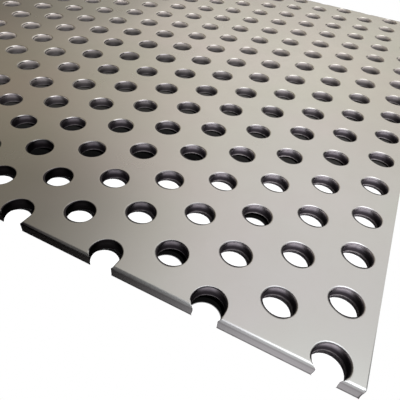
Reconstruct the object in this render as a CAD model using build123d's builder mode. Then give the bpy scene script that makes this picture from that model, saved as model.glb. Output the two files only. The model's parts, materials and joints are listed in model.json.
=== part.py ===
from build123d import *
import os
from math import sqrt

# A perforated steel sheet, lying flat: its underside is on Z = 0 and its middle is at X = Y = 0.
# Round holes are punched through it in columns along Y. Each column is half a pitch out of step with
# the next, so every hole has six neighbours at one distance. The shear that cuts the sheet to length
# passes through holes, which leaves notches in its front edge and shallow bites in its back edge.

# The sheet
width = 300.0  # along X
length = 300.0  # along Y
thickness = 4.0
edge_roll = 0.8  # the shear draws the top of the front and back edges down round this radius

# The holes
hole_diameter = 10.0
pitch = 20.0  # from the centre of a hole to the centres of all six around it
right_margin = 9.3  # from the right edge to the centres of the first column
left_land = 2.0  # the least metal that may stay between the last column and the left edge
front_offset = 3.9  # the front edge lies this far outside the centres of the notches in it

hole_radius = hole_diameter / 2
column_spacing = pitch * sqrt(3) / 2
columns = int((width - right_margin - hole_radius - left_land) / column_spacing) + 1
first_column_x = width / 2 - right_margin
first_row_y = -length / 2 + front_offset


def row_count(first_y):
    """How many holes of a column that starts at first_y reach the sheet."""
    return int((length / 2 + hole_radius - first_y) / pitch) + 1


with BuildPart() as perforated_sheet:
    with BuildSketch():
        Rectangle(width, length)
    extrude(amount=thickness)
    top_face = perforated_sheet.faces().sort_by(Axis.Z)[-1]
    fillet(top_face.edges().filter_by(Axis.X), edge_roll)

    # Two grids make the staggered pattern: the columns that start with a notch, and those between them.
    with BuildSketch():
        for shift in (0, 1):
            start_x = first_column_x - shift * column_spacing
            start_y = first_row_y + shift * pitch / 2
            grid_columns = (columns - shift + 1) // 2
            with Locations((start_x, start_y)):
                with GridLocations(
                    2 * column_spacing,
                    pitch,
                    grid_columns,
                    row_count(start_y),
                    align=(Align.MAX, Align.MIN),
                ):
                    Circle(hole_radius)
    extrude(amount=thickness, mode=Mode.SUBTRACT)

perforated_sheet.part.label = "perforated_sheet"

os.makedirs("parts", exist_ok=True)
export_step(perforated_sheet.part, "parts/perforated_sheet.step")
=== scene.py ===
"""The look of the perforated steel sheet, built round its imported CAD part.

The sheet is rebuilt on the CAD's own outline and hole centres, as one closed mesh: a flat skin of
six-sided cells, one round each hole, with what a punch and a shear leave on real metal. Each hole has a
rounded rim, a smooth upper land, a broken lower zone and a thin lip underneath. The front and back
edges are drawn down at the top, and the four corners are worn round. Lengths are in metres.
"""

import json
from collections import defaultdict
from math import ceil, cos, exp, hypot, pi, radians, sin, sqrt

import bmesh
import bpy
import numpy as np
from mathutils import Matrix, Vector


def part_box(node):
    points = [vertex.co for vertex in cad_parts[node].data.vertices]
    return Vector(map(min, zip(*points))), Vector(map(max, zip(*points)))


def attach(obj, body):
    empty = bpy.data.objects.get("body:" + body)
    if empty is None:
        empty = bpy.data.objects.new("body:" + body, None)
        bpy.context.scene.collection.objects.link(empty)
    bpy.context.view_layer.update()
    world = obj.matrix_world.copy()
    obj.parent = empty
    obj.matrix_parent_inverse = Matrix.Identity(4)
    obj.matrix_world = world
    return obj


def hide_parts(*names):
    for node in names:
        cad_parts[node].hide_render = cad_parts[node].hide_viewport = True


MM = 0.001
TINY = 1e-6  # a length that counts as none
NODE = "perforated_sheet"

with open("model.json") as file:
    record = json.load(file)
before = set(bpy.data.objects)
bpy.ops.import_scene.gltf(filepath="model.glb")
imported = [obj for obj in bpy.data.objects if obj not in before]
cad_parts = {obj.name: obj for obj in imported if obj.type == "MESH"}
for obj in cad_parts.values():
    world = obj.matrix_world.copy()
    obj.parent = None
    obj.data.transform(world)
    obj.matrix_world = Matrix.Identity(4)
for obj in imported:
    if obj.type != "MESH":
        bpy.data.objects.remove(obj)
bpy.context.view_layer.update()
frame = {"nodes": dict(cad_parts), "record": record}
cad = frame["nodes"][NODE]
low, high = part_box(NODE)
WIDTH, LENGTH, THICK = (high[i] - low[i] for i in range(3))
MID_X, MID_Y = (low[0] + high[0]) / 2, (low[1] + high[1]) / 2


# ---- What the CAD part says ----


def bore_radius(record):
    """The radius of the punched holes, as the record's mounts state it."""
    radii = [m["dims"]["r_mm"] for m in record["mounts"] if m["kind"] == "bore"]
    return radii[0] * MM


def corners_of(mesh):
    co = np.empty(len(mesh.vertices) * 3, dtype=np.float32)
    mesh.vertices.foreach_get("co", co)
    return co.reshape(-1, 3).astype(float)


def hole_axes(mesh, radius):
    """The XY of each hole: the facets of a round wall all look at its axis from one distance."""
    co = corners_of(mesh)
    seen = defaultdict(list)
    for face in mesh.polygons:
        if abs(face.normal.z) > 0.01:
            continue
        flat = {tuple(np.round(co[i][:2], 7)) for i in face.vertices}
        if len(flat) < 2:
            continue
        ends = sorted(flat)
        a, b = np.array(ends[0]), np.array(ends[-1])
        half = np.linalg.norm(b - a) / 2
        if half > radius / 4:
            continue
        away = np.array(face.normal[:2])
        axis = (a + b) / 2 + away * sqrt(radius**2 - half**2)
        seen[tuple(np.round(axis / (0.2 * MM)).astype(int))].append((*axis, *away))
    axes = []
    for group in sorted(seen.values(), key=len, reverse=True):
        axis, turn = np.mean(group, axis=0)[:2], np.ptp(group, axis=0)[2:].max()
        if turn > 0.3 and all(np.linalg.norm(axis - other) > radius for other in axes):
            axes.append(axis)
    return np.array(axes)


def roll_of(mesh):
    """How far down the front edge the rounded top reaches."""
    co = corners_of(mesh)
    side = co[co[:, 1] < low[1] + TINY]
    return high[2] - side[:, 2].max()


RADIUS = bore_radius(frame["record"])
AXES = hole_axes(cad.data, RADIUS)
ROLL = roll_of(cad.data)
CORNER, CORNER_FOOT = 0.7 * MM, 1.2 * MM  # the four corners are worn round, most at the foot
GAPS = np.linalg.norm(AXES[:, None] - AXES[None], axis=2)
PITCH = np.median(GAPS[(GAPS > RADIUS) & (GAPS < 6 * RADIUS)])
# The hole nearest the front right corner: the pattern and the camera are laid out from it.
FIRST = max(AXES, key=lambda p: p[0] * 2 - p[1])


# ---- The sheet's mesh ----

SKIN, CUT, SHEARED = range(3)  # the mesh's materials, in their order
SIDES = 30  # points round a hole, five to each side of its cell

# From the skin to the underside: how far outside the hole's radius a ring lies, in mm, and its height.
# The first six lead over the rounded rim. Then come the foot of the land, of the broken zone and the lip.
RINGS = [
    (1.05, THICK),
    (0.80, THICK),
    (0.55, THICK - 0.06 * MM),
    (0.34, THICK - 0.16 * MM),
    (0.14, THICK - 0.34 * MM),
    (0.00, THICK - 0.68 * MM),
    (0.00, THICK - 1.90 * MM),
    (0.10, 0.26 * MM),
    (0.00, 0.0),
]
# The same rings where the punch leaned, on the front left of each hole: a flatter, narrower edge.
LEANING = [
    (1.05, THICK),
    (0.62, THICK),
    (0.40, THICK - 0.005 * MM),
    (0.20, THICK - 0.015 * MM),
    (-0.08, THICK - 0.03 * MM),
    (-0.50, THICK - 0.11 * MM),
    (-0.50, THICK - 1.90 * MM),
    (-0.10, 0.26 * MM),
    (-0.10, 0.0),
]
LEAN = radians(243)  # round from +X towards +Y
RIM_END = 5  # the last ring of the rounded rim
LAND_END = 6  # the ring between the land and the broken zone
FLAT_RINGS = 4  # the strips between rings that count as skin, the shallow part of the rim among them
LEAN_FADE = 0.7  # how slowly the lean dies away to both sides
TIP = radians(-42)  # where the shear broke the right tip off a front notch
TIP_LOSS = 1.05 * MM  # how far it broke back
TIP_SPREAD = 0.09  # how widely, in square radians
WAVES = ((1, 0.16), (2, 0.11), (5, 0.07))  # how often the torn line rises round a hole, and by how much
TORN_DEPTH = 0.12  # how much the land's depth differs between holes, in mm


def cell_corner(k):
    """Point k of a cell's outline, as a share of the distance between holes."""
    per = SIDES // 6
    a, b = k // per * pi / 3, (k // per + 1) * pi / 3
    t = k % per / per
    share = 1 / sqrt(3)
    return (
        share * ((1 - t) * cos(a) + t * cos(b)),
        share * ((1 - t) * sin(a) + t * sin(b)),
    )


def lattice():
    """(x, y, True if a hole is there) for every cell that reaches the sheet."""
    across = PITCH * sqrt(3) / 2
    reach = PITCH / sqrt(3)
    for i in range(-ceil(WIDTH / across) - 2, ceil(WIDTH / across) + 3):
        x = FIRST[0] + i * across
        if not low[0] - reach < x < high[0] + reach:
            continue
        for j in range(-ceil(LENGTH / PITCH) - 2, ceil(LENGTH / PITCH) + 3):
            y = FIRST[1] + (j + (i % 2) / 2) * PITCH
            if low[1] - reach < y < high[1] + reach:
                near = np.linalg.norm(AXES - np.array((x, y)), axis=1).min()
                yield x, y, near < RADIUS / 4


def rows(x, y):
    """How many rows of holes away a place lies, to the back left and to the back right."""
    a, b = (x - FIRST[0]) / sqrt(3) / PITCH, (y - FIRST[1]) / PITCH
    return b - a, b + a


def held(share, least=0.0):
    """A share kept between the least and 1."""
    return min(1.0, max(least, share))


def rim_size(x, y):
    """The rims are crisper at the front left of the sheet: 0.5 to 1 of their full size."""
    left, right = rows(x, y)
    crisp = held((2 - right) / 4) * held((9 - left) / 3)
    return 1 - 0.5 * crisp


def leaned(x, y):
    """How far the punch leaned: most in the near rows at the right."""
    left, _ = rows(x, y)
    columns = (FIRST[0] - x) / PITCH
    return held(1 - (columns - 3) / 4, least=0.3) * held((10 - left) / 3)


def ring_place(n, a, size, lean, broken):
    """Radius and height of ring n at the angle a, before the tear's waves."""
    out, z = RINGS[n]
    r, h = RADIUS + out * MM, z
    if n <= RIM_END:
        r, h = RADIUS + out * size * MM, THICK - (THICK - z) * size
    k = lean * max(0.0, cos(a - LEAN)) ** LEAN_FADE
    r += k * (RADIUS + LEANING[n][0] * MM - r)
    h += k * (LEANING[n][1] - h)
    r += broken * exp(-(((a - TIP + pi) % (2 * pi) - pi) ** 2) / TIP_SPREAD)
    return r, h


def hole_rings(bm, x, y, rng):
    """The rings of points of one hole, from its rim down the wall to the underside."""
    starts, deep = rng.uniform(0, 2 * pi, len(WAVES)), rng.normal(0, TORN_DEPTH)
    front = abs(y - FIRST[1]) < MM
    size, lean = rim_size(x, y), 0.0 if front else leaned(x, y)
    broken = TIP_LOSS if front and x < FIRST[0] - PITCH / 2 else 0.0
    rings = []
    for n in range(len(RINGS)):
        row = []
        for k in range(SIDES):
            a = 2 * pi * k / SIDES
            r, h = ring_place(n, a, size, lean, broken)
            wave = sum(tall * sin(often * a + start) for (often, tall), start in zip(WAVES, starts))
            if n == LAND_END:
                h += (deep + wave) * MM
            elif n == LAND_END + 1:
                r += 0.25 * wave * MM
            row.append(bm.verts.new((x + r * cos(a), y + r * sin(a), h)))
        rings.append(row)
    return rings


def add_cells(bm):
    """One cell for each place in the pattern, open at its outline, where it meets its neighbours."""
    rng = np.random.default_rng(11)
    outline = [cell_corner(k) for k in range(SIDES)]
    for x, y, punched in lattice():
        top = [bm.verts.new((x + u * PITCH, y + v * PITCH, THICK)) for u, v in outline]
        under = [bm.verts.new((x + u * PITCH, y + v * PITCH, 0.0)) for u, v in outline]
        if not punched:
            bm.faces.new(top).material_index = SKIN
            bm.faces.new(list(reversed(under))).material_index = SKIN
            continue
        loops = [top, *hole_rings(bm, x, y, rng), under]
        for n in range(len(loops) - 1):
            wall = FLAT_RINGS <= n < len(loops) - 2
            for k in range(SIDES):
                m = (k + 1) % SIDES
                face = bm.faces.new((loops[n][k], loops[n][m], loops[n + 1][m], loops[n + 1][k]))
                face.material_index = CUT if wall else SKIN


def cut(bm, point, normal, faces, clear=False):
    geom = set(faces)
    for f in faces:
        geom.update(f.edges)
        geom.update(f.verts)
    bmesh.ops.bisect_plane(
        bm, geom=list(geom), dist=1e-7, plane_co=point, plane_no=normal, clear_outer=clear
    )


def walls():
    """A point on each of the four sides and the way the side faces."""
    yield Vector((high[0], MID_Y, 0)), Vector((1, 0, 0))
    yield Vector((low[0], MID_Y, 0)), Vector((-1, 0, 0))
    yield Vector((MID_X, low[1], 0)), Vector((0, -1, 0))
    yield Vector((MID_X, high[1], 0)), Vector((0, 1, 0))


def trim(bm):
    """Shears the cells off at the four sides and closes the metal there."""
    for point, normal in walls():
        cut(bm, point, normal, bm.faces[:], clear=True)
    for x in (low[0], high[0]):
        for y in (low[1], high[1]):
            bm.edges.new([v for v in bm.verts if hypot(v.co.x - x, v.co.y - y) < TINY])
    for point, normal in walls():
        rim = [
            e
            for e in bm.edges
            if len(e.link_faces) < 2 and all((v.co - point).dot(normal) > -TINY for v in e.verts)
        ]
        for face in bmesh.ops.edgeloop_fill(bm, edges=rim)["faces"]:
            face.material_index = SHEARED


WIDE = 1.5 * ROLL  # the draw-down reaches further in than it goes down
TORN_FOOT, TORN_TOP = 0.3 * MM, THICK - 2.0 * MM  # the sheared sides' broken zone
TORN_BACK = 0.05 * MM  # how far it stands back
CREASE = radians(38)  # an edge that turns more than this is shown sharp


def drawn(d):
    """How far the top is drawn down at a distance d in from the front or back edge."""
    t = max(0.0, 1 - d / WIDE)
    return ROLL * (1 - sqrt(max(0.0, 1 - t * t)))


def on_side(face):
    """True for a face that lies in one of the four sides."""
    centre = face.calc_center_median()
    return any(
        abs(face.normal.dot(normal)) > 0.99 and abs((centre - point).dot(normal)) < TINY
        for point, normal in walls()
    )


def score(bm):
    """Adds the rows of points that the drawn edges, the corners and the torn zone need."""
    for point, normal in walls():
        steps = [CORNER * 0.5, CORNER, CORNER * 1.7, *(CORNER_FOOT * k for k in (0.4, 0.6, 0.8, 1.0))]
        if normal.y:
            steps += [WIDE * (1 - cos(radians(a))) for a in (12, 24, 36, 48, 60, 75, 90)] + [WIDE * 1.3]
        reach = max(steps) + MM
        for step in sorted(steps):
            near = [f for f in bm.faces if any((v.co - point).dot(normal) > -reach for v in f.verts)]
            cut(bm, point - normal * step, normal, near)
    for level in (0.35 * MM, 1.0 * MM, THICK - 2.1 * MM, THICK - 1.25 * ROLL, THICK - ROLL):
        cut(bm, Vector((0, 0, level)), Vector((0, 0, 1)), [f for f in bm.faces if on_side(f)])


def inset(z):
    """How far the sheared side stands back at height z: only where it broke, above the foot."""
    return TORN_BACK if TORN_FOOT < z <= TORN_TOP else 0.0


def shape_sides(bm):
    """Draws the top down at the front and back, rounds the corners and sets the broken zone back."""
    for v in bm.verts:
        x, y, z = v.co
        dx, dy = WIDTH / 2 - abs(x - MID_X), LENGTH / 2 - abs(y - MID_Y)
        d = max(0.0, min(dx, dy))
        z = min(z, THICK - drawn(max(0.0, dy)))
        back = inset(z) if d < TINY else 0.0
        worn = CORNER + (CORNER_FOOT - CORNER) * (1 - z / THICK)
        u, w = worn - dx, worn - dy
        if u > 0 and w > 0:
            far = max(u, w) - back
            k = far / hypot(u, w)
            x += (u * k - u) * (1 if x > MID_X else -1)
            y += (w * k - w) * (1 if y > MID_Y else -1)
        elif back:
            if dx <= dy:
                x -= back * (1 if x > MID_X else -1)
            else:
                y -= back * (1 if y > MID_Y else -1)
        v.co = (x, y, z)


def build_sheet():
    bm = bmesh.new()
    add_cells(bm)
    bmesh.ops.remove_doubles(bm, verts=[v for v in bm.verts if v.is_boundary], dist=0.01 * MM)
    bmesh.ops.recalc_face_normals(bm, faces=bm.faces)
    trim(bm)
    score(bm)
    shape_sides(bm)
    bmesh.ops.dissolve_degenerate(bm, edges=bm.edges, dist=TINY)
    bmesh.ops.recalc_face_normals(bm, faces=bm.faces)
    for face in bm.faces:
        face.smooth = True
        if face.normal.z > 0.45 and face.calc_center_median().z > THICK - 1.1 * ROLL:
            face.material_index = SKIN
    mesh = bpy.data.meshes.new("sheet_skin")
    bm.to_mesh(mesh)
    bm.free()
    mesh.set_sharp_from_angle(angle=CREASE)
    piece = bpy.data.objects.new("sheet_skin", mesh)
    bpy.context.scene.collection.objects.link(piece)
    return piece


# ---- Materials ----


class Nodes:
    """Short ways to add and join the nodes of a tree."""

    def __init__(self, tree):
        self.tree = tree
        tree.nodes.clear()

    def put(self, socket, value):
        """Joins another node's output to an input, or sets the input to a plain value."""
        if isinstance(value, bpy.types.NodeSocket):
            self.tree.links.new(value, socket)
        else:
            socket.default_value = value

    def add(self, kind, inputs=None, **settings):
        node = self.tree.nodes.new(kind)
        for name, value in settings.items():
            setattr(node, name, value)
        for name, value in (inputs or {}).items():
            self.put(node.inputs[name], value)
        return node

    def ramp(self, fac, stops):
        node = self.add("ShaderNodeValToRGB", {"Fac": fac})
        points = node.color_ramp.elements
        while len(points) < len(stops):
            points.new(0.5)
        for point, (place, colour) in zip(points, stops):
            point.position = place
            point.color = (*colour, 1)
        return node.outputs["Color"]

    def mix(self, fac, a, b, blend="MIX"):
        node = self.add("ShaderNodeMix", data_type="RGBA", blend_type=blend)
        for name, kind, value in (("Factor", "VALUE", fac), ("A", "RGBA", a), ("B", "RGBA", b)):
            self.put([s for s in node.inputs if s.name == name and s.type == kind][0], value)
        return [s for s in node.outputs if s.type == "RGBA"][0]

    def tone(self, colour, where, level):
        """A colour, darker by a level where a mask is 1."""
        return self.mix(where, colour, (level, level, level, 1), blend="MULTIPLY")

    def math(self, op, *values):
        node = self.add("ShaderNodeMath", operation=op)
        for i, value in enumerate(values):
            self.put(node.inputs[i], value)
        return node.outputs[0]

    def both(self, *masks):
        """The product of masks: 1 only where all of them are."""
        result = masks[0]
        for mask in masks[1:]:
            result = self.math("MULTIPLY", result, mask)
        return result

    def either(self, *masks):
        """The largest of masks: 1 where any of them is."""
        result = masks[0]
        for mask in masks[1:]:
            result = self.math("MAXIMUM", result, mask)
        return result

    def dot(self, a, b):
        return self.add("ShaderNodeVectorMath", {0: a, 1: b}, operation="DOT_PRODUCT").outputs["Value"]

    def distance(self, a, b):
        return self.add("ShaderNodeVectorMath", {0: a, 1: b}, operation="DISTANCE").outputs["Value"]

    def parts(self, vector):
        return self.add("ShaderNodeSeparateXYZ", {"Vector": vector}).outputs

    def remap(self, value, a, b, c=0.0, d=1.0, smooth=False):
        """Value from a..b to c..d, held at both ends."""
        node = self.add(
            "ShaderNodeMapRange",
            {"Value": value, "From Min": a, "From Max": b, "To Min": c, "To Max": d},
            interpolation_type="SMOOTHSTEP" if smooth else "LINEAR",
        )
        return node.outputs["Result"]

    def noise(self, at, scale, detail=3.0, rough=0.6):
        inputs = {"Vector": at, "Scale": scale, "Detail": detail, "Roughness": rough}
        return self.add("ShaderNodeTexNoise", inputs).outputs["Fac"]

    def drag(self, at, squash, scale, rough, strength, depth):
        """The normal of marks drawn down a wall by the tool: a noise stretched along its height."""
        stretched = self.add("ShaderNodeMapping", {"Vector": at, "Scale": (1.0, 1.0, squash)})
        height = self.noise(stretched.outputs["Vector"], scale, 3.0, rough)
        bump = self.add("ShaderNodeBump", {"Height": height, "Strength": strength, "Distance": depth})
        return bump.outputs["Normal"]

    def metal(self, colour, rough, normal=None):
        """Ends a material's tree with bare metal."""
        inputs = {"Base Color": colour, "Metallic": 1.0, "Roughness": rough}
        if normal is not None:
            inputs["Normal"] = normal
        shader = self.add("ShaderNodeBsdfPrincipled", inputs)
        self.add("ShaderNodeOutputMaterial", {"Surface": shader.outputs["BSDF"]})


def new_material(name):
    material = bpy.data.materials.new(name)
    material.use_nodes = True
    return material, Nodes(material.node_tree)


def rows_from(n, at, lean):
    """Distance from the first hole in rows: to the back left (-1), the back (0) or the back right (1)."""
    start = n.add("ShaderNodeVectorMath", {0: at, 1: (*FIRST, 0.0)}, operation="SUBTRACT").outputs["Vector"]
    return n.dot(start, (lean / sqrt(3) / PITCH, 1 / PITCH, 0.0))


def place_on_sheet(n):
    """A point's own place, and its rows to the back left and to the back right."""
    at = n.add("ShaderNodeTexCoord").outputs["Object"]
    return at, rows_from(n, at, -1), rows_from(n, at, 1)


def middle(n, left, right):
    """1 for the holes down the middle of the sheet, 0 to the left and the right of them."""
    columns = n.remap(n.math("SUBTRACT", left, right), 11.5, 9.5)
    return n.both(columns, n.remap(right, -0.8, 1.0), n.remap(right, 5.5, 3.0))


def surface_normal(n):
    return n.add("ShaderNodeNewGeometry").outputs["Normal"]


TO_BACK = (0.45, 0.89, 0.0)  # the way the near side of each hole faces


def skin_tint(n, at, left, right):
    """The rolled steel's colour: a random tone, tinted a little by place, with painted shade over three broad
    areas.
    """
    tint = n.ramp(
        n.noise(at, 16.0, 3.0, 0.5),
        [(0.30, (0.632, 0.598, 0.572)), (0.5, (0.618, 0.606, 0.566)), (0.70, (0.600, 0.606, 0.550))],
    )
    tint = n.mix(n.remap(left, 8.0, 1.5), tint, (0.97, 1.0, 1.07, 1), blend="MULTIPLY")
    tint = n.mix(n.remap(right, 4.0, 9.0), tint, (1.0, 1.0, 0.95, 1), blend="MULTIPLY")
    columns, back = n.math("SUBTRACT", left, right), rows_from(n, at, 0)
    # Painted shade: darker in the far left corner, along the left of the front edge and towards the far
    # right.
    tint = n.tone(tint, n.both(n.remap(left, 11.0, 13.5), n.remap(columns, 9.2, 10.4)), 0.81)
    tint = n.tone(tint, n.both(n.remap(back, 2.4, 0.8), n.remap(columns, 2.5, 4.5)), 0.88)
    far_right_shade = n.both(n.remap(columns, 2.5, 0.5), n.remap(back, 3.0, 6.0), n.remap(back, 13.0, 11.0))
    tint = n.tone(tint, far_right_shade, 0.92)
    mottle = n.noise(at, 120.0, 4.0, 0.6)
    return n.mix(n.remap(mottle, 0.35, 0.65, 0.0, 0.10), tint, (0.50, 0.48, 0.44, 1))


def painted_rim_shade(n, up, across, left, right):
    """Painted shade: a dark line on the near side of each rim, and all round it at the front left."""
    crisp = n.both(n.remap(up, 0.985, 0.93), n.remap(right, 1.5, -0.5), n.remap(left, 6.5, 4.5))
    return n.either(crisp, n.both(n.remap(across, 0.04, 0.14), n.remap(left, 11.0, 6.0)))


def satin_skin():
    """Rolled steel, satin and a little mottled, with painted shade where the rims and the front edge turn
    down and along the right and back edges.
    """
    material, n = new_material("satin_steel_skin")
    at, left, right = place_on_sheet(n)
    x, y, _ = n.parts(at)
    facing = surface_normal(n)
    across, up = n.dot(facing, TO_BACK), n.parts(facing)["Z"]
    inside = n.either(n.remap(y, low[1] + 1.5 * MM, low[1] + 2 * MM), n.remap(right, -2.0, -3.0))
    inside = n.both(inside, n.remap(y, high[1] - 1.5 * MM, high[1] - 2 * MM))

    tint = skin_tint(n, at, left, right)
    mid = middle(n, left, right)
    # Painted shade: the steep inner part of each rim is darker, in the near rows and in the holes down the
    # middle.
    steep = n.remap(up, n.remap(mid, 0.0, 1.0, 0.80, 0.92), n.remap(mid, 0.0, 1.0, 0.55, 0.72))
    steep = n.both(steep, n.either(n.remap(left, 9.0, 5.0), n.both(mid, n.remap(left, 13.0, 11.0))), inside)
    tint = n.mix(steep, tint, (0.28, 0.25, 0.28, 1))
    # Painted shade: the steep lower part of the front edge's rounded top is darker.
    rolled = n.both(n.remap(up, 0.60, 0.30), n.remap(y, low[1] + 1.5 * MM, low[1] + 1.3 * MM))
    tint = n.mix(rolled, tint, (0.37, 0.36, 0.36, 1))

    # Painted shade, not wear: a near black line on the near side of the rims, along the right edge near the
    # front corner and along the back edge. The mask worn holds it.
    near_corner = n.remap(y, low[1] + 1.1 * PITCH, low[1] + 0.3 * PITCH)
    right_edge_shade = n.both(n.remap(x, high[0] - 0.30 * MM, high[0] - 0.15 * MM, 0.0, 0.7), near_corner)
    back_edge_shade = n.remap(y, high[1] - 1.3 * MM, high[1] - 0.7 * MM, 0.0, 0.8)
    worn = n.either(n.both(painted_rim_shade(n, up, across, left, right), inside), right_edge_shade, back_edge_shade)
    tint = n.mix(worn, tint, (0.03, 0.027, 0.03, 1))
    n.metal(tint, n.remap(n.noise(at, 60.0), 0.3, 0.7, 0.245, 0.275))
    return material


def torn_height(n, at, scale):
    """A point's height, made uneven as a torn edge is."""
    wobble = n.math("MULTIPLY_ADD", n.noise(at, scale), 0.5 * MM, -0.25 * MM)
    return n.math("ADD", n.parts(at)["Z"], wobble)


# The punched walls' colours from the foot (0) to the skin (1): a lip, a torn zone, then the land.
# They hold painted light and shade: the lip painted light at the left and the right, the torn zone dark
# partly as its own dull metal and partly as painted shade, and the land painted lighter towards the skin.
# The three are lit and shaded copies of one metal, for the left, the right and the back of the sheet.
WALL_SHADED_LEFT = [
    (0.00, (0.34, 0.32, 0.32)),
    (0.05, (0.20, 0.185, 0.20)),
    (0.10, (0.045, 0.038, 0.045)),
    (0.42, (0.057, 0.048, 0.057)),
    (0.62, (0.19, 0.172, 0.193)),
    (0.82, (0.42, 0.39, 0.42)),
]
WALL_LIT_RIGHT = [
    (0.00, (0.85, 0.82, 0.82)),
    (0.05, (0.62, 0.58, 0.60)),
    (0.11, (0.10, 0.088, 0.10)),
    (0.42, (0.128, 0.112, 0.132)),
    (0.62, (0.42, 0.39, 0.43)),
    (0.82, (0.88, 0.84, 0.88)),
]
WALL_LIT_BACK = [
    (0.00, (0.20, 0.19, 0.185)),
    (0.30, (0.26, 0.245, 0.24)),
    (0.45, (0.36, 0.34, 0.33)),
    (0.65, (0.77, 0.73, 0.69)),
    (0.80, (0.94, 0.89, 0.84)),
]


def wall_colour(n, at, level, left, right):
    """Painted light and shade on the walls: darker at the left, lighter at the right and paler at the back,
    darker down the middle, and near black at the front left and at the front notches further left.
    """
    colour = n.mix(n.remap(right, -0.5, 2.5), n.ramp(level, WALL_SHADED_LEFT), n.ramp(level, WALL_LIT_RIGHT))
    colour = n.mix(n.remap(left, 6.0, 11.0), colour, n.ramp(level, WALL_LIT_BACK))
    # Painted shade: the walls of the holes down the middle are darker.
    painted_middle_shade = n.both(middle(n, left, right), n.remap(left, 5.5, 7.5), n.remap(left, 15.0, 12.5))
    colour = n.tone(colour, painted_middle_shade, 0.58)
    # Painted shade: the walls at the front left and at the front notches further left are near black.
    shaded = n.both(n.remap(right, -0.5, -1.8), n.remap(left, 7.0, 5.0))
    notch_from, notch_to = float(FIRST[0] - 2.3 * PITCH), float(FIRST[0] - 3.0 * PITCH)
    notch = n.both(n.remap(rows_from(n, at, 0), 0.30, 0.24), n.remap(n.parts(at)["X"], notch_from, notch_to))
    return n.mix(n.either(shaded, notch), colour, (0.008, 0.0065, 0.007, 1))


def cut_metal():
    """The punched walls: a smooth land above, torn metal below and a lip last, with painted light and shade:
    the torn zone dark, the lip light, and painted shade on the near top and on walls that face left.
    """
    material, n = new_material("satin_steel_cut")
    at, left, right = place_on_sheet(n)
    height = torn_height(n, at, 900.0)
    level = n.remap(height, 0.0, THICK)
    colour = wall_colour(n, at, level, left, right)
    facing = surface_normal(n)
    # Painted shade: a dark band at the top of the walls' near side.
    top = n.remap(height, THICK - 0.8 * MM, THICK - 0.6 * MM)
    near_top_shade = n.both(n.remap(n.dot(facing, TO_BACK), 0.02, 0.10), top)
    colour = n.mix(near_top_shade, colour, (0.015, 0.013, 0.015, 1))
    # Painted shade: walls that face left are near black, mostly in the near rows.
    turned_shade = n.both(n.remap(n.parts(facing)["X"], -0.35, -0.95), n.remap(left, 9.0, 6.0, 0.0, 0.75))
    colour = n.mix(turned_shade, colour, (0.02, 0.018, 0.02, 1))
    rough = n.remap(level, 0.35, 0.65, 0.62, n.remap(left, 7.0, 11.0, 0.38, 0.75))
    n.metal(colour, rough, n.drag(at, squash=0.15, scale=2200.0, rough=0.7, strength=0.25, depth=0.1 * MM))
    return material


def sheared_metal():
    """The four sheared sides: a smooth land that darkens to a dark line at the foot, with painted shade just
    under the drawn-down top.
    """
    material, n = new_material("satin_steel_sheared")
    at = n.add("ShaderNodeTexCoord").outputs["Object"]
    # Painted shade: the land is darker near the top, just under the drawn-down edge.
    colour = n.ramp(
        n.remap(torn_height(n, at, 500.0), 0.0, THICK),
        [
            (0.00, (0.12, 0.115, 0.115)),
            (0.08, (0.30, 0.29, 0.29)),
            (0.18, (0.49, 0.48, 0.48)),
            (0.45, (0.46, 0.45, 0.45)),
            (0.62, (0.45, 0.44, 0.44)),
            (0.74, (0.38, 0.37, 0.37)),
        ],
    )
    marks = n.drag(at, squash=0.2, scale=1500.0, rough=0.6, strength=0.12, depth=0.08 * MM)
    n.metal(colour, 0.24, marks)
    return material


# ---- Light, floor and camera ----


def lobe(n, way, direction, inner, outer, smooth=False):
    """1 within the cosine inner of a direction, falling to 0 at the cosine outer."""
    return n.remap(n.dot(way, tuple(Vector(direction).normalized())), outer, inner, smooth=smooth)


SCREEN = (-0.80, 0.35, 0.50)  # the way to the middle of the dark screen


def back_of_room(n, way, z):
    """The pale room behind the sheet, with a dark screen to the left."""
    room = n.ramp(
        lobe(n, way, SCREEN, 1.0, 0.30),
        [
            (0.00, (0.92, 0.89, 0.86)),
            (0.22, (0.96, 0.92, 0.87)),
            (0.36, (1.00, 0.95, 0.91)),
            (0.47, (0.98, 0.93, 0.90)),
            (0.66, (0.94, 0.88, 0.83)),
            (0.77, (0.78, 0.72, 0.65)),
            (0.86, (0.50, 0.46, 0.40)),
            (0.93, (0.30, 0.26, 0.207)),
            (1.00, (0.25, 0.215, 0.162)),
        ],
    )
    # Bands across the screen, by height.
    lift = n.ramp(
        z,
        [
            (0.33, (0.53, 0.55, 0.56)),
            (0.42, (0.86, 0.86, 0.86)),
            (0.50, (0.91, 0.91, 0.91)),
            (0.57, (0.73, 0.73, 0.73)),
            (0.64, (0.51, 0.51, 0.51)),
            (0.75, (0.46, 0.46, 0.46)),
        ],
    )
    lift = n.mix(1.0, lift, (1.6, 1.6, 1.6, 1), blend="MULTIPLY")
    room = n.mix(lobe(n, way, SCREEN, 0.93, 0.86), room, n.mix(1.0, room, lift, blend="MULTIPLY"))
    return n.mix(n.remap(z, 0.40, 0.95), room, (0.90, 0.90, 0.91, 1), blend="MULTIPLY")


def front_of_room(n, x):
    """The room in front of the sheet, black at the left and pale at the right."""
    return n.ramp(
        n.remap(x, -0.65, 0.60),
        [
            (0.00, (0.002, 0.0012, 0.001)),
            (0.15, (0.004, 0.003, 0.002)),
            (0.23, (0.030, 0.026, 0.024)),
            (0.30, (0.12, 0.115, 0.115)),
            (0.38, (0.25, 0.245, 0.25)),
            (0.47, (0.66, 0.65, 0.67)),
            (0.57, (0.85, 0.83, 0.86)),
            (0.68, (0.68, 0.66, 0.68)),
            (0.80, (0.60, 0.58, 0.60)),
            (0.92, (0.74, 0.71, 0.74)),
        ],
    )


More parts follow.
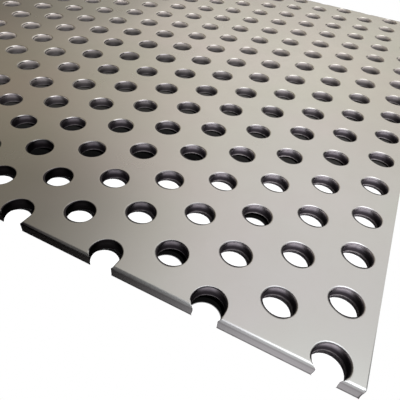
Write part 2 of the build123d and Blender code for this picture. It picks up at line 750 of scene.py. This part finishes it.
def studio_colour(n):
    """The studio by direction: the room, a large soft light nearly overhead, and the ground."""
    way = n.add("ShaderNodeTexCoord").outputs["Generated"]
    x, y, z = n.parts(way)
    room, front = back_of_room(n, way, z), front_of_room(n, x)
    # The front reaches round the sides of the room, except high up at the far left.
    spared = n.both(n.remap(x, -0.45, -0.70), n.remap(z, 0.20, 0.40))
    ahead = n.both(n.remap(y, 0.38, 0.04, smooth=True), n.math("SUBTRACT", 1.0, spared))
    room = n.mix(ahead, room, front)
    softbox = lobe(n, way, (0.30, 0.04, 0.95), 0.985, 0.89, smooth=True)
    room = n.mix(softbox, room, (2.8, 2.8, 2.9, 1))
    # Dark low down behind the sheet.
    behind = n.both(n.remap(z, 0.28, 0.16, smooth=True), n.remap(y, 0.0, 0.4, smooth=True))
    room = n.mix(behind, room, (0.02, 0.02, 0.02, 1))
    glow = n.both(n.remap(z, -0.70, -0.30), n.remap(x, -0.45, -0.15))
    ground = n.mix(glow, front, (0.08, 0.075, 0.07, 1), blend="ADD")
    ground = n.mix(n.remap(y, -0.35, 0.10, smooth=True), ground, (0.01, 0.01, 0.01, 1))
    return n.mix(n.remap(z, -0.10, 0.02, smooth=True), ground, room)


def studio():
    """The world: the studio in reflections, and plain white to the camera."""
    world = bpy.data.worlds.new("studio")
    bpy.context.scene.world = world
    world.use_nodes = True
    n = Nodes(world.node_tree)
    seen = n.add("ShaderNodeLightPath").outputs["Is Camera Ray"]
    room = n.mix(seen, studio_colour(n), (1.0, 1.0, 1.0, 1))
    back = n.add("ShaderNodeBackground", {"Color": room, "Strength": 1.0})
    n.add("ShaderNodeOutputWorld", {"Surface": back.outputs["Background"]})
    world.cycles_visibility.diffuse = False


def plane(name, half_x, half_y, z, material):
    """A flat piece of floor. The sheet doesn't mirror it and takes no light from it."""
    mesh = bpy.data.meshes.new(name)
    corners = [(-half_x, -half_y, z), (half_x, -half_y, z), (half_x, half_y, z), (-half_x, half_y, z)]
    mesh.from_pydata(corners, [], [(0, 1, 2, 3)])
    mesh.materials.append(material)
    piece = bpy.data.objects.new(name, mesh)
    bpy.context.scene.collection.objects.link(piece)
    piece.visible_glossy = False
    piece.visible_diffuse = False
    return piece


def white_floor():
    material, n = new_material("floor_white")
    glow = n.add("ShaderNodeEmission", {"Color": (1.0, 1.0, 1.0, 1), "Strength": 1.0})
    n.add("ShaderNodeOutputMaterial", {"Surface": glow.outputs["Emission"]})
    return material


# Painted shadows on the floor under three holes.
SHADOW_SPOTS = [(2, 0.0), (3, 0.5), (2, 2.0)]  # columns to the left and rows back from the first hole


def shadow_spot(n, at, column, row):
    """Painted shadow: 1 on the floor at the back of a hole, off a round patch that stays pale in front."""
    spot = (FIRST[0] - column * PITCH * sqrt(3) / 2, FIRST[1] + row * PITCH, low[2])
    front = (spot[0], spot[1] - 0.15 * PITCH, spot[2])
    under_hole = n.remap(n.distance(at, spot), 0.45 * PITCH, 0.40 * PITCH)
    return n.both(under_hole, n.remap(n.distance(at, front), 0.24 * PITCH, 0.26 * PITCH))


def shaded_floor():
    """The floor under the sheet: pale in the near rows, with painted shadow further back and in a few spots
    under holes.
    """
    material, n = new_material("floor_pale")
    at, back, right = place_on_sheet(n)
    # Painted shadow: the floor's dark tone further back.
    deep = n.ramp(
        n.remap(back, 5.0, 12.0),
        [
            (0.00, (0.003, 0.003, 0.003)),
            (0.15, (0.008, 0.008, 0.008)),
            (0.30, (0.02, 0.019, 0.018)),
            (1.00, (0.10, 0.093, 0.087)),
        ],
    )
    deep = n.mix(n.remap(right, 1.0, 5.0), deep, (0.03, 0.029, 0.028, 1), blend="ADD")
    # Painted shadow: where the floor is dark, further back and under three holes.
    dark = n.either(n.remap(back, 4.35, 4.70, smooth=True), *(shadow_spot(n, at, *place) for place in SHADOW_SPOTS))
    shader = n.add("ShaderNodeBsdfDiffuse", {"Color": n.mix(dark, (0.8, 0.8, 0.8, 1), deep)})
    n.add("ShaderNodeOutputMaterial", {"Surface": shader.outputs["BSDF"]})
    return material


FLOOR_HALF = 4.0  # half the white floor's width
FLOOR_GAP = 0.02 * MM  # between the sheet and the patch, and again between the patch and the floor


def floor():
    """A white floor, and the patch under the sheet, which takes the lamp's light through the holes."""
    piece = plane("floor", FLOOR_HALF, FLOOR_HALF, low[2] - 2 * FLOOR_GAP, white_floor())
    piece.visible_shadow = False
    under = plane("floor_under_sheet", WIDTH / 2, LENGTH / 2, low[2] - FLOOR_GAP, shaded_floor())
    return under


LAMP_FROM = radians(72)  # round from +X towards +Y
LAMP_HIGH = radians(71)
LAMP_POWER = 4.6
LAMP_SPREAD = radians(2.5)  # how wide it looks, which softens the shadows' edges


def lamp(target):
    """A lamp high behind the sheet, for the floor alone: it leaves a dark crescent in each hole."""
    data = bpy.data.lights.new("floor_lamp", "SUN")
    data.energy = LAMP_POWER
    data.angle = LAMP_SPREAD
    sun = bpy.data.objects.new("floor_lamp", data)
    bpy.context.scene.collection.objects.link(sun)
    way = Vector((cos(LAMP_HIGH) * cos(LAMP_FROM), cos(LAMP_HIGH) * sin(LAMP_FROM), sin(LAMP_HIGH)))
    sun.rotation_euler = way.to_track_quat("Z", "Y").to_euler()
    lit = bpy.data.collections.new("lit_by_lamp")
    lit.objects.link(target)
    sun.light_linking.receiver_collection = lit


# The camera, from the axis of the hole nearest the front right corner, in distances between holes.
STAND = (-0.945, -3.121, 4.867)
TURN = radians(22.431)  # to the left of straight back
DOWN = radians(42.852)
TILT = radians(6.603)
LENS = 36.422
SHIFT = (0.0308, -0.0040)


def camera():
    data = bpy.data.cameras.new("camera")
    data.sensor_width = 36.0
    data.lens = LENS
    data.shift_x, data.shift_y = SHIFT
    data.clip_start = 0.001
    eye = bpy.data.objects.new("camera", data)
    bpy.context.scene.collection.objects.link(eye)
    place = Vector((FIRST[0], FIRST[1], THICK)) + Vector(STAND) * PITCH
    look = (
        Matrix.Rotation(TURN, 4, "Z")
        @ Matrix.Rotation(pi / 2 - DOWN, 4, "X")
        @ Matrix.Rotation(TILT, 4, "Z")
    )
    eye.matrix_world = Matrix.Translation(place) @ look
    bpy.context.scene.camera = eye


sheet = build_sheet()
for make in (satin_skin, cut_metal, sheared_metal):
    sheet.data.materials.append(make())
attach(sheet, "root")
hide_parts(NODE)
lamp(floor())
studio()
camera()
bpy.context.scene.view_settings.view_transform = "Standard"
bpy.context.scene.view_settings.look = "None"
